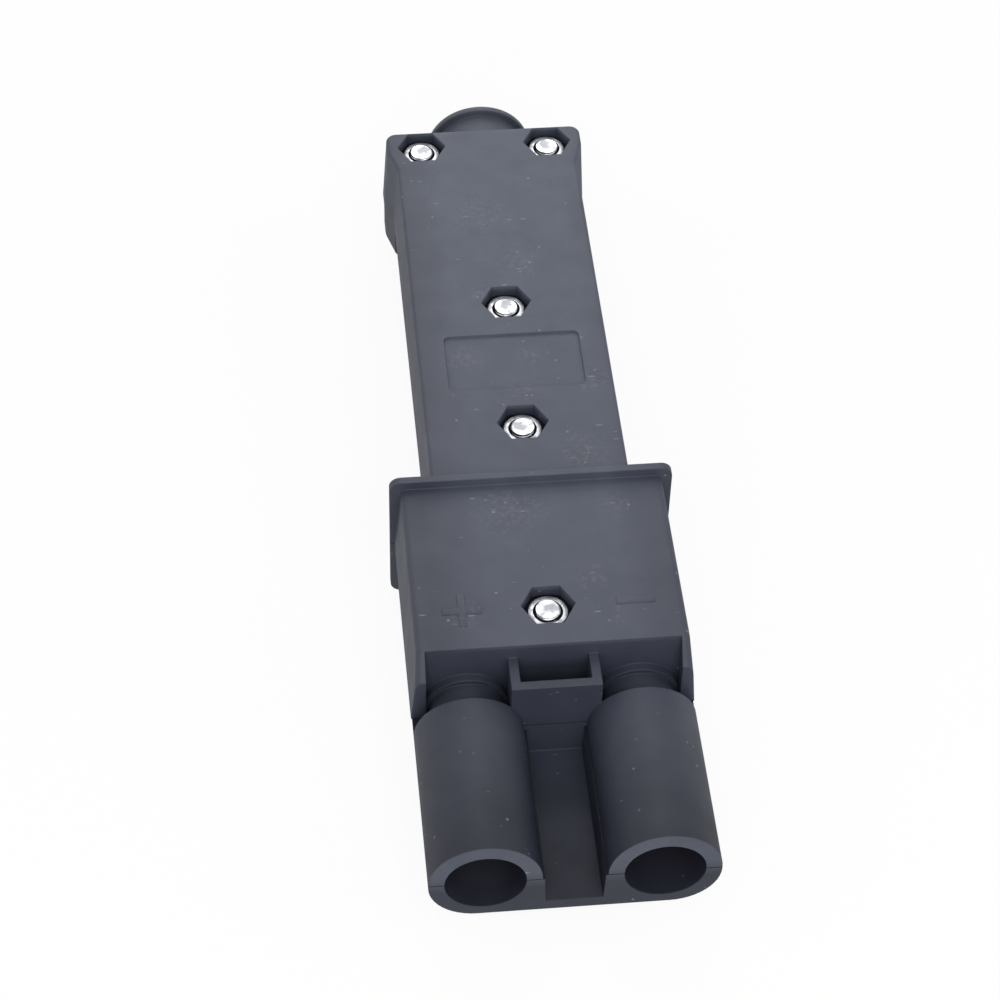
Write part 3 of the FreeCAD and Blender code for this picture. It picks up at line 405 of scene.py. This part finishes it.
def zinc_plated_steel(name, bright_from, bright_to):
    """Bright zinc plate over cold-headed steel: pale, cloudy and slightly uneven.

    Above the seat it is painted dark as shade outside a bright band, whose two radii are in millimetres.
    """
    material, tree, shader = new_material(name)
    place = in_millimetres(tree)
    cloud = add_node(tree, "ShaderNodeTexNoise", {"Scale": 1 / ZINC_CLOUD_MM, "Detail": 3.0},
                     {"Vector": place})
    contrast = add_node(tree, "ShaderNodeMapRange", {"From Min": 0.36, "From Max": 0.6}, {"Value": cloud})
    plate = add_node(tree, "ShaderNodeMix",
                     {"data_type": "RGBA", 6: linear("#dcdee1"), 7: linear("#94969b")}, {0: contrast})
    flat = add_node(tree, "ShaderNodeVectorMath", {"operation": "MULTIPLY", 1: (1.0, 1.0, 0.0)}, {0: place})
    out = add_node(tree, "ShaderNodeVectorMath", {"operation": "LENGTH"}, {0: flat})
    middle = (bright_from + bright_to) / 2
    half = (bright_to - bright_from) / 2
    bright_band = add_node(tree, "ShaderNodeMath", {"operation": "COMPARE", 1: middle, 2: half},
                     {0: out.outputs["Value"]})
    # Painted shade: above the seat and outside the bright band the zinc is painted dark and made rougher.
    axes = add_node(tree, "ShaderNodeSeparateXYZ", None, {0: place})
    above = add_node(tree, "ShaderNodeMath", {"operation": "GREATER_THAN", 1: SEAT_MM},
                     {0: axes.outputs["Z"]})
    outside_band = add_node(tree, "ShaderNodeMath", {"operation": "SUBTRACT", 0: 1.0}, {1: bright_band})
    painted_shade = add_node(tree, "ShaderNodeMath", {"operation": "MULTIPLY"}, {0: outside_band, 1: above})
    colour = add_node(tree, "ShaderNodeMix", {"data_type": "RGBA", 7: linear("#26272b")},
                      {0: painted_shade, 6: plate.outputs[2]})
    tree.links.new(colour.outputs[2], shader.inputs["Base Color"])
    shader.inputs["Metallic"].default_value = 1.0
    dull = add_node(tree, "ShaderNodeMapRange", {"To Min": 0.34, "To Max": 0.54}, {"Value": cloud})
    rough = add_node(tree, "ShaderNodeMath", {"operation": "MULTIPLY_ADD", 1: SHADE_DULL},
                     {0: painted_shade, 2: dull})
    tree.links.new(rough.outputs[0], shader.inputs["Roughness"])
    worn = add_node(tree, "ShaderNodeBevel", {"samples": EDGE_SAMPLES, "Radius": ZINC_EDGE_MM * MM})
    skin = add_node(tree, "ShaderNodeTexNoise", {"Scale": 1 / ZINC_SKIN_MM, "Detail": 2.0},
                    {"Vector": place})
    bump = add_node(tree, "ShaderNodeBump", {"Strength": 1.0, "Distance": ZINC_SKIN_DEEP_MM * MM},
                    {"Height": skin, "Normal": worn})
    tree.links.new(bump.outputs[0], shader.inputs["Normal"])
    return material


def turned_brass():
    """Turned brass of the contacts: yellow, with the fine rings that the tool leaves round the axis."""
    material, tree, shader = new_material("turned_brass")
    place = in_millimetres(tree)
    cloud = add_node(tree, "ShaderNodeTexNoise", {"Scale": 1 / BRASS_CLOUD_MM, "Detail": 3.0},
                     {"Vector": place})
    base = add_node(tree, "ShaderNodeMix",
                    {"data_type": "RGBA", 6: linear("#d8b066"), 7: linear("#bf9650")}, {0: cloud})
    tree.links.new(base.outputs[2], shader.inputs["Base Color"])
    shader.inputs["Metallic"].default_value = 1.0
    shader.inputs["Roughness"].default_value = 0.3
    rings = add_node(tree, "ShaderNodeTexWave",
                     {"bands_direction": "Y", "Scale": math.tau / WAVES_PER_TAU / TURNING_MM,
                      "Distortion": 0.6}, {"Vector": place})
    bump = add_node(tree, "ShaderNodeBump", {"Strength": 1.0, "Distance": TURNING_DEEP_MM * MM},
                    {"Height": rings})
    tree.links.new(bump.outputs[0], shader.inputs["Normal"])
    return material


def rolled_spring_steel():
    """Rolled spring steel of the contact springs and clamp screws: grey, with faint rolling lines."""
    material, tree, shader = new_material("rolled_spring_steel")
    place = in_millimetres(tree)
    drawn = add_node(tree, "ShaderNodeVectorMath", {"operation": "MULTIPLY", 1: ROLLING_STRETCH},
                     {0: place})
    lines = add_node(tree, "ShaderNodeTexNoise", {"Scale": 1.0, "Detail": 3.0}, {"Vector": drawn})
    base = add_node(tree, "ShaderNodeMix",
                    {"data_type": "RGBA", 6: linear("#a9abae"), 7: linear("#8f9195")}, {0: lines})
    tree.links.new(base.outputs[2], shader.inputs["Base Color"])
    shader.inputs["Metallic"].default_value = 1.0
    shader.inputs["Roughness"].default_value = 0.35
    bump = add_node(tree, "ShaderNodeBump", {"Strength": 1.0, "Distance": ROLLING_DEEP_MM * MM},
                    {"Height": lines})
    tree.links.new(bump.outputs[0], shader.inputs["Normal"])
    return material


def seen_itself(tree):
    """1 for a ray that sees a surface straight, mirrored or through glass, and 0 for light on it."""
    path = add_node(tree, "ShaderNodeLightPath")
    mirrored = add_node(tree, "ShaderNodeMath", {"operation": "MAXIMUM"},
                        {0: path.outputs["Is Glossy Ray"], 1: path.outputs["Is Transmission Ray"]})
    return add_node(tree, "ShaderNodeMath", {"operation": "MAXIMUM"},
                    {0: path.outputs["Is Camera Ray"], 1: mirrored})


def studio_paper():
    """Seamless white paper: matte, and white to the eye apart from the plug's soft shadow."""
    material, tree, shader = new_material("studio_paper")
    shader.inputs["Base Color"].default_value = linear("#f4f4f4")
    shader.inputs["Roughness"].default_value = 0.9
    shader.inputs["Specular IOR Level"].default_value = 0.1
    glow = add_node(tree, "ShaderNodeEmission", {"Color": linear("#ffffff"), "Strength": 1.0})
    share = add_node(tree, "ShaderNodeMath", {"operation": "MULTIPLY", 1: FLOOR_GLOW},
                     {0: seen_itself(tree)})
    lit = add_node(tree, "ShaderNodeMixShader", None, {0: share, 1: shader, 2: glow})
    tree.links.new(lit.outputs[0], tree.nodes["Material Output"].inputs["Surface"])
    return material


def make_finishes():
    """The finish of each of the record's material slots."""
    return {
        "moulded_plastic": moulded_nylon(),
        "bush_rubber": moulded_rubber(),
        "zinc_plated_steel": zinc_plated_steel("zinc_plated_screw", *SCREW_BRIGHT_MM),
        "contact_brass": turned_brass(),
        "spring_steel": rolled_spring_steel(),
    }


def dress_nodes(finishes):
    """Gives every CAD node the finish of its slot."""
    slots = {row["node"]: row["material_slot"] for row in frame["record"]["subparts"]}
    for name, piece in frame["nodes"].items():
        piece.data.materials.clear()
        piece.data.materials.append(finishes[slots[name]])


def add_piece(name, mesh, finish):
    """Shows a mesh as a piece of the plug, smooth between its sharp edges."""
    mesh.shade_smooth()
    mesh.set_sharp_from_angle(angle=SHARP_ANGLE)
    mesh.materials.append(finish)
    piece = bpy.data.objects.new(name, mesh)
    bpy.context.scene.collection.objects.link(piece)
    return piece


def cross_outline(long, wide):
    """A plus sign round the origin."""
    arm, half = long / 2, wide / 2
    quarter = [(arm, -half), (arm, half), (half, half)]
    turns = [(1, 0), (0, 1), (-1, 0), (0, -1)]
    return [(x * c - y * s, x * s + y * c) for c, s in turns for x, y in quarter]


def bar_outline(long, wide):
    """A minus sign round the origin."""
    return [(-long / 2, -wide / 2), (long / 2, -wide / 2), (long / 2, wide / 2), (-long / 2, wide / 2)]


def raised_mark(name, outline, place, finish):
    """A mark that stands up from the head's top face, with worn upper edges."""
    form = bmesh.new()
    foot = form.faces.new([form.verts.new((x * MM, y * MM, -MARK_FOOT_MM * MM)) for x, y in outline])
    grown = bmesh.ops.extrude_face_region(form, geom=[foot])["geom"]
    rise = Vector((0, 0, (MARK_HEIGHT_MM + MARK_FOOT_MM) * MM))
    bmesh.ops.translate(form, vec=rise, verts=[v for v in grown if isinstance(v, bmesh.types.BMVert)])
    top_edges = [e for e in form.edges if all(v.co.z > 0 for v in e.verts)]
    bmesh.ops.bevel(form, geom=top_edges, offset=MARK_EDGE_MM * MM, segments=MARK_EDGE_STEPS, profile=0.5,
                    affect="EDGES")
    bmesh.ops.recalc_face_normals(form, faces=form.faces)
    mesh = bpy.data.meshes.new(name)
    form.to_mesh(mesh)
    form.free()
    mesh.transform(Matrix.Translation(spot(*place, TOP_MM)))
    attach(add_piece(name, mesh, finish), "root")


def turned_mesh(name, rings, ring_shaped):
    """A mesh turned round Z. Each ring gives a radius and a height for each column, in millimetres.

    A ring-shaped mesh joins its last ring to its first, and any other has flat ends.
    """
    points = [(r * math.cos(k * math.tau / COLUMNS) * MM, r * math.sin(k * math.tau / COLUMNS) * MM, z * MM)
              for ring in rings for k, (r, z) in enumerate(ring)]
    faces = []
    pairs = len(rings) if ring_shaped else len(rings) - 1
    for row in range(pairs):
        low, high = row * COLUMNS, (row + 1) % len(rings) * COLUMNS
        for k in range(COLUMNS):
            after = (k + 1) % COLUMNS
            faces.append((low + k, low + after, high + after, high + k))
    if not ring_shaped:
        faces.append(tuple(reversed(range(COLUMNS))))
        faces.append(tuple(range(pairs * COLUMNS, len(rings) * COLUMNS)))
    mesh = bpy.data.meshes.new(name)
    mesh.from_pydata(points, [], faces)
    return mesh


def level_ring(radius, height):
    """A round ring at one height."""
    return [(radius, height)] * COLUMNS


def thread_ring(height):
    """One level of the screw's right-hand thread, which runs out at the chamfered end."""
    ring = []
    for k in range(COLUMNS):
        phase = (height / PITCH_MM - k / COLUMNS) % 1.0
        ramp = min(1.0, max(0.0, FLANK_SLOPE * abs(phase - 0.5) - CREST_FLAT))
        radius = CREST_MM - (CREST_MM - ROOT_MM) * ramp
        ring.append((min(radius, TIP_MM + SCREW_MM - height), height))
    return ring


def screw_mesh(name):
    """A domed pan head below the origin and a threaded shank above it."""
    dome = HEAD_HEIGHT_MM - HEAD_SIDE_MM
    rings = []
    for step in range(DOME_STEPS + 1):
        bend = step / DOME_STEPS * math.pi / 2
        rings.append(level_ring(HEAD_FLAT_MM + (HEAD_MM - HEAD_FLAT_MM) * math.sin(bend),
                                -HEAD_HEIGHT_MM + dome * (1 - math.cos(bend))))
    rings.append(level_ring(HEAD_MM, -HEAD_EDGE_MM))
    rings.append(level_ring(HEAD_MM - HEAD_EDGE_MM, 0))
    rings.append(level_ring(CREST_MM, 0))
    rings.append(level_ring(CREST_MM, THREAD_START_MM))
    steps = round((SCREW_MM - THREAD_START_MM) / THREAD_STEP_MM)
    for step in range(1, steps + 1):
        rings.append(thread_ring(THREAD_START_MM + (SCREW_MM - THREAD_START_MM) * step / steps))
    return turned_mesh(name, rings, False)


def cut_slot(piece):
    """Cuts the driver's slot across a screw's head, with a bar that is longer than the head is wide."""
    form = bmesh.new()
    bmesh.ops.create_cube(form, size=1.0)
    size = (3 * HEAD_MM * MM, SLOT_WIDE_MM * MM, 2 * SLOT_DEEP_MM * MM)
    bmesh.ops.scale(form, vec=size, verts=form.verts)
    bmesh.ops.translate(form, vec=(0, 0, -HEAD_HEIGHT_MM * MM), verts=form.verts)
    mesh = bpy.data.meshes.new("slot_bar")
    form.to_mesh(mesh)
    form.free()
    bar = bpy.data.objects.new("slot_bar", mesh)
    bpy.context.scene.collection.objects.link(bar)
    cut = piece.modifiers.new("slot", "BOOLEAN")
    cut.operation = "DIFFERENCE"
    cut.solver = "EXACT"
    cut.object = bar
    shapes = bpy.context.evaluated_depsgraph_get()
    slotted = bpy.data.meshes.new_from_object(piece.evaluated_get(shapes))
    piece.modifiers.clear()
    piece.data = slotted
    bpy.data.objects.remove(bar)


def hexagon_ring(height, chamfer_height):
    """The nut's outside where it has its six flats, cut back by the chamfer towards its ends."""
    ring = []
    for k in range(COLUMNS):
        angle = (k * math.tau / COLUMNS) % (math.tau / 6) - math.tau / 12
        radius = NUT_FLATS_MM / 2 / math.cos(angle)
        drop = max(0.0, radius - NUT_RIM_MM) * math.tan(NUT_CHAMFER)
        ring.append((radius, height + chamfer_height * drop))
    return ring


def nut_mesh(name):
    """A hexagon nut with chamfered corners and a countersunk hole, its lower face at the origin."""
    sink = NUT_SINK_MM - NUT_HOLE_MM
    rings = [
        level_ring(NUT_HOLE_MM, NUT_HEIGHT_MM - sink), level_ring(NUT_HOLE_MM, sink),
        level_ring(NUT_SINK_MM, 0), level_ring(NUT_RIM_MM, 0), hexagon_ring(0, 1),
        hexagon_ring(NUT_HEIGHT_MM, -1), level_ring(NUT_RIM_MM, NUT_HEIGHT_MM),
        level_ring(NUT_SINK_MM, NUT_HEIGHT_MM),
    ]
    return turned_mesh(name, rings, True)


def make_fasteners(screw_finish):
    """Threaded screws and chamfered nuts in place of the plain ones, each on its solid's axis."""
    nut_finish = zinc_plated_steel("zinc_plated_nut", *NUT_BRIGHT_MM)
    for name, turn in SCREW_TURNS:
        screw = add_piece("threaded_screw_" + name, screw_mesh("threaded_screw_" + name),
                          screw_finish)
        cut_slot(screw)
        low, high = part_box("screw_" + name)
        middle = (low + high) / 2
        seat = Vector((middle.x, middle.y, high.z - SCREW_MM * MM))
        screw.matrix_world = Matrix.Translation(seat) @ Matrix.Rotation(math.radians(turn), 4, "Z")
        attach(screw, "root")
        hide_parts("screw_" + name)
        nut = add_piece("chamfered_nut_" + name, nut_mesh("chamfered_nut_" + name),
                        nut_finish)
        low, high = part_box("nut_" + name)
        middle = (low + high) / 2
        nut.matrix_world = Matrix.Translation(Vector((middle.x, middle.y, low.z)))
        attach(nut, "root")
        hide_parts("nut_" + name)


def look_along(azimuth, elevation, roll):
    """The camera's right, up and back directions."""
    back = Vector((math.sin(azimuth) * math.cos(elevation), -math.cos(azimuth) * math.cos(elevation),
                   math.sin(elevation)))
    level = Vector((math.cos(azimuth), math.sin(azimuth), 0))
    upright = back.cross(level)
    right = math.cos(roll) * level + math.sin(roll) * upright
    up = math.cos(roll) * upright - math.sin(roll) * level
    return right, up, back


def place_camera():
    """The camera at the photograph's angle."""
    right, up, back = look_along(VIEW_AZIMUTH, VIEW_ELEVATION, VIEW_ROLL)
    lens = bpy.data.cameras.new("camera")
    lens.sensor_width = SENSOR_MM
    lens.lens = FOCAL_LENGTH_MM
    lens.clip_start = CLIP_NEAR
    lens.clip_end = CLIP_FAR
    camera = bpy.data.objects.new("camera", lens)
    bpy.context.scene.collection.objects.link(camera)
    turn = Matrix((right, up, back)).transposed().to_4x4()
    camera.matrix_world = Matrix.Translation(spot(*VIEW_TARGET_MM) + VIEW_DISTANCE_MM * MM * back) @ turn
    bpy.context.scene.camera = camera


def soft_box(name, azimuth, elevation, width, height, watts):
    """A rectangular lamp that faces the plug. Azimuth 0 is behind the cord entry, 90 on the right."""
    around, above = math.radians(azimuth), math.radians(elevation)
    towards = Vector((math.sin(around) * math.cos(above), math.cos(around) * math.cos(above),
                      math.sin(above)))
    light = bpy.data.lights.new(name, "AREA")
    light.shape = "RECTANGLE"
    light.size = width
    light.size_y = height
    light.energy = watts
    lamp = bpy.data.objects.new(name, light)
    place = Vector((0, 0, JOINT_HEIGHT)) + LAMP_DISTANCE * towards
    lamp.matrix_world = Matrix.Translation(place) @ towards.to_track_quat("Z", "Y").to_matrix().to_4x4()
    bpy.context.scene.collection.objects.link(lamp)


def make_studio():
    """The white floor, the lamps, and air that is white to the eye and dim as a light."""
    bpy.ops.mesh.primitive_plane_add(size=FLOOR_SIZE, location=(0, 0, 0))
    floor = bpy.context.object
    floor.name = "floor"
    floor.data.materials.append(studio_paper())
    for lamp in LAMPS:
        soft_box(*lamp)
    world = bpy.data.worlds.new("studio_air")
    world.use_nodes = True
    tree = world.node_tree
    air = tree.nodes["Background"]
    level = add_node(tree, "ShaderNodeMapRange", {"To Min": AIR_LEVEL, "To Max": 1.0},
                     {"Value": seen_itself(tree)})
    air.inputs["Color"].default_value = linear("#ffffff")
    tree.links.new(level.outputs[0], air.inputs["Strength"])
    bpy.context.scene.world = world


place_camera()
finishes = make_finishes()
dress_nodes(finishes)
nylon = finishes["moulded_plastic"]
raised_mark("plus_mark", cross_outline(PLUS_LONG_MM, PLUS_WIDE_MM), PLUS_PLACE_MM, nylon)
raised_mark("minus_mark", bar_outline(MINUS_LONG_MM, MINUS_WIDE_MM), MINUS_PLACE_MM, nylon)
make_fasteners(finishes["zinc_plated_steel"])
make_studio()
bpy.context.scene.view_settings.view_transform = "Standard"
